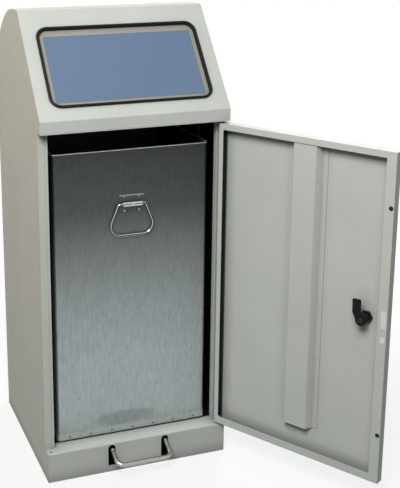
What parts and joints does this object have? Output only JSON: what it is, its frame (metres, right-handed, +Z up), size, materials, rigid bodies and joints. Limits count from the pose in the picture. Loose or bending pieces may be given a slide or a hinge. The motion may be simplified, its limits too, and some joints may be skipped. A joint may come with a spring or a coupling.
{
  "type": "pedal recycling bin",
  "caption": "Tall light grey sheet-steel pedal bin with a sloped hood, inward-swinging blue flap, open front door and galvanised inner container with a drop handle.",
  "frame": {"origin": "middle of the plinth's underside, on the floor", "axes": "+Z up, +X towards the door's hinges, -Y towards the user; the door is stored open, the flap shut and the pedal up"},
  "size_m": [0.5985, 0.7112, 0.97],
  "materials": {
    "painted_sheet": "semi-gloss powder coat, light grey",
    "taupe_paint": "satin powder coat, taupe",
    "blue_film": "satin self-adhesive film, blue",
    "galvanised": "zinc-plated sheet, dull spangle",
    "bright_steel": "bright zinc-plated steel",
    "spring_steel": "oiled spring steel",
    "black_rubber": "matte extruded rubber",
    "black_plastic": "satin moulded plastic",
    "white_nylon": "natural nylon"
  },
  "bodies": {
    "cabinet": {"body_shell": "painted_sheet", "hood_shell": "painted_sheet", "plinth_tray": "painted_sheet", "base_frame": "painted_sheet", "opening_trim": "black_rubber", "hinge_pins": "bright_steel", "flap_brackets": "galvanised", "flap_bushes": "white_nylon", "hood_rivets": "painted_sheet", "frame_rivets": "bright_steel", "shaft_brackets": "galvanised", "shaft_bushes": "white_nylon", "rod_guides": "galvanised", "return_spring": "spring_steel"},
    "door": {"door_skin": "painted_sheet", "door_stiffener": "painted_sheet", "door_bumpers": "black_rubber", "hinge_plates": "galvanised", "hinge_bushes": "white_nylon", "lock_housing": "bright_steel", "lock_nut": "bright_steel"},
    "latch": {"lock_barrel": "bright_steel", "latch_cam": "black_plastic", "cam_screw": "bright_steel"},
    "pedal": {"pedal_bar": "bright_steel", "pedal_shaft": "bright_steel", "pedal_lever": "galvanised", "lever_pin": "bright_steel"},
    "pull_link": {"pull_rod": "galvanised"},
    "flap": {"flap_panel": "taupe_paint", "flap_film": "blue_film", "flap_axle": "bright_steel", "flap_crank": "galvanised", "crank_pin": "bright_steel"},
    "container": {"container_shell": "galvanised", "container_base": "galvanised", "container_rivets": "bright_steel", "handle_plate": "galvanised", "handle_rivets": "bright_steel"},
    "bail": {"handle_bail": "bright_steel"}
  },
  "joints": [
    {"name": "door_hinge", "type": "hinge", "parent": "cabinet", "child": "door", "pos_m": [0.1915, -0.182, 0.4], "axis": [0, 0, 1], "range_deg": [-121, 59]},
    {"name": "latch_turn", "type": "hinge", "parent": "door", "child": "latch", "pos_m": [0.37167, -0.46632, 0.405], "axis": [-0.8572, -0.515, 0], "range_deg": [-90, 0]},
    {"name": "pedal_press", "type": "hinge", "parent": "cabinet", "child": "pedal", "pos_m": [0, 0.13, 0.045], "axis": [1, 0, 0], "range_deg": [0, 4.5], "stiffness_Nm_per_rad": 20, "springref_deg": -34.38, "deforming": ["return_spring"]},
    {"name": "rod_swing", "type": "hinge", "parent": "pedal", "child": "pull_link", "pos_m": [0.1897, -0.04765, 0.045], "axis": [1, 0, 0], "range_deg": [-4.5, 0]},
    {"name": "flap_hinge", "type": "hinge", "parent": "cabinet", "child": "flap", "pos_m": [0, -0.03506, 0.91981], "axis": [1, 0, 0], "range_deg": [0, 62]},
    {"name": "container_slide", "type": "slide", "parent": "cabinet", "child": "container", "axis": [0, -1, 0], "range_m": [0, 0.34]},
    {"name": "bail_swing", "type": "hinge", "parent": "container", "child": "bail", "pos_m": [0, -0.1546, 0.582], "axis": [-1, 0, 0], "range_deg": [0, 100]}
  ],
  "couplings": [
    {"joint": "rod_swing", "follows": "pedal_press", "ratio": -1},
    {"joint": "flap_hinge", "follows": "pedal_press", "ratio": 13.777}
  ]
}
